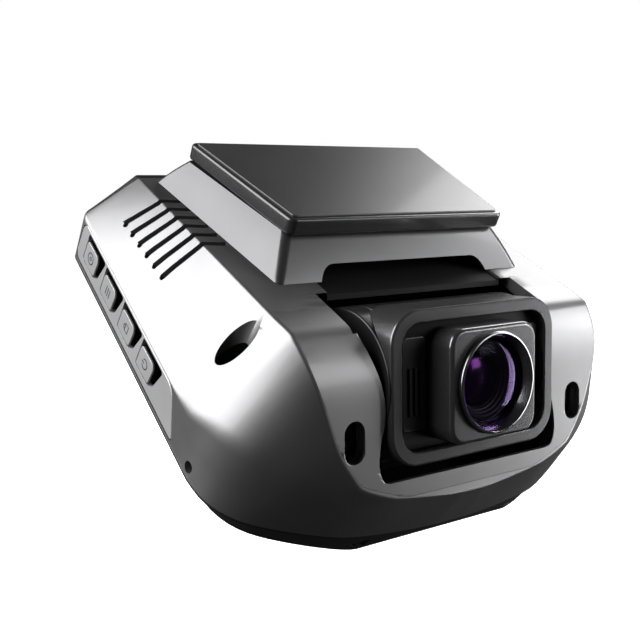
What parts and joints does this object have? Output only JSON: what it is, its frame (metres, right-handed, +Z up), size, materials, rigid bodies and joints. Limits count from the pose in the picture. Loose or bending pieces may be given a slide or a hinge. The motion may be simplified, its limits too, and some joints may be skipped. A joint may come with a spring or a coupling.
{
  "type": "dash camera",
  "caption": "Wedge-shaped dash camera that hangs from the windscreen on a slide-off bracket, with a tilting lens turret, side push buttons, rear screen and memory card slot.",
  "frame": {"origin": "centre of the adhesive face that sticks to the windscreen", "axes": "+X to the side (the buttons are on -X), -Y the way the lens looks, +Z up as the camera hangs in the car"},
  "size_m": [0.093, 0.0729, 0.0747],
  "materials": {
    "pad_film": "gloss",
    "bracket_plastic": "satin",
    "spring_steel": "satin",
    "housing_dark": "satin",
    "housing_satin": "satin",
    "trim_grey": "satin",
    "cover_black": "matt",
    "screen_glass": "gloss",
    "lcd": "gloss",
    "circuit_board": "satin",
    "chip_black": "matt",
    "aluminium": "brushed",
    "capacitor_sleeve": "gloss",
    "brass_contact": "satin",
    "connector_steel": "satin",
    "strip_silver": "satin",
    "button_silver": "satin",
    "nylon": "matt",
    "turret_dark": "satin",
    "bezel_metal": "satin",
    "block_metal": "satin",
    "ring_metal": "polished",
    "lens_glass": "coated",
    "sensor_die": "gloss",
    "screw_steel": "black oxide"
  },
  "bodies": {
    "windscreen_bracket": {"adhesive_pad": "pad_film", "mount_plate": "bracket_plastic"},
    "housing": {"latch_spring": "spring_steel", "pedestal": "housing_dark", "main_shell": "housing_satin", "front_trim": "trim_grey", "rear_cover": "cover_black", "screen_window": "screen_glass", "lcd_panel": "lcd", "main_board": "circuit_board", "processor": "chip_black", "heat_sink": "aluminium", "memory_chips": "chip_black", "backup_capacitors": "capacitor_sleeve", "speaker": "chip_black", "microphone": "brass_contact", "usb_port": "connector_steel", "av_jack": "chip_black", "card_socket": "connector_steel", "end_strip_left": "strip_silver", "end_strip_right": "strip_silver", "button_board": "circuit_board", "tact_switches": "connector_steel", "turret_cradle": "cover_black", "friction_washers": "nylon", "case_screws": "screw_steel"},
    "turret": {"pivot_pins": "spring_steel", "turret_drum": "turret_dark", "bezel_frame": "bezel_metal", "turret_mask": "cover_black", "lens_block": "block_metal", "lens_ring": "ring_metal", "front_glass": "lens_glass", "lens_barrel": "chip_black", "rear_lens": "lens_glass", "lens_holder": "chip_black", "image_sensor": "sensor_die", "sensor_board": "circuit_board"},
    "card": {"memory_card": "chip_black"},
    "button_ok": {"button_ok": "button_silver"},
    "button_menu": {"button_menu": "button_silver"},
    "button_lock": {"button_lock": "button_silver"},
    "button_power": {"button_power": "button_silver"}
  },
  "joints": [
    {"name": "bracket_slide", "type": "slide", "parent": "windscreen_bracket", "child": "housing", "axis": [-1, 0, 0], "range_m": [0, 0.03]},
    {"name": "turret_tilt", "type": "hinge", "parent": "housing", "child": "turret", "pos_m": [0, -0.0199, -0.0362], "axis": [1, 0, 0], "range_deg": [-22, 10]},
    {"name": "button_ok_press", "type": "slide", "parent": "housing", "child": "button_ok", "axis": [1, 0, 0], "range_m": [0, 0.0005], "stiffness_N_per_m": 600, "springref_m": -0.0005},
    {"name": "button_menu_press", "type": "slide", "parent": "housing", "child": "button_menu", "axis": [1, 0, 0], "range_m": [0, 0.0005], "stiffness_N_per_m": 600, "springref_m": -0.0005},
    {"name": "button_lock_press", "type": "slide", "parent": "housing", "child": "button_lock", "axis": [1, 0, 0], "range_m": [0, 0.0005], "stiffness_N_per_m": 600, "springref_m": -0.0005},
    {"name": "button_power_press", "type": "slide", "parent": "housing", "child": "button_power", "axis": [1, 0, 0], "range_m": [0, 0.0005], "stiffness_N_per_m": 600, "springref_m": -0.0005},
    {"name": "card_eject", "type": "slide", "parent": "housing", "child": "card", "axis": [1, 0, 0], "range_m": [0, 0.012]}
  ]
}
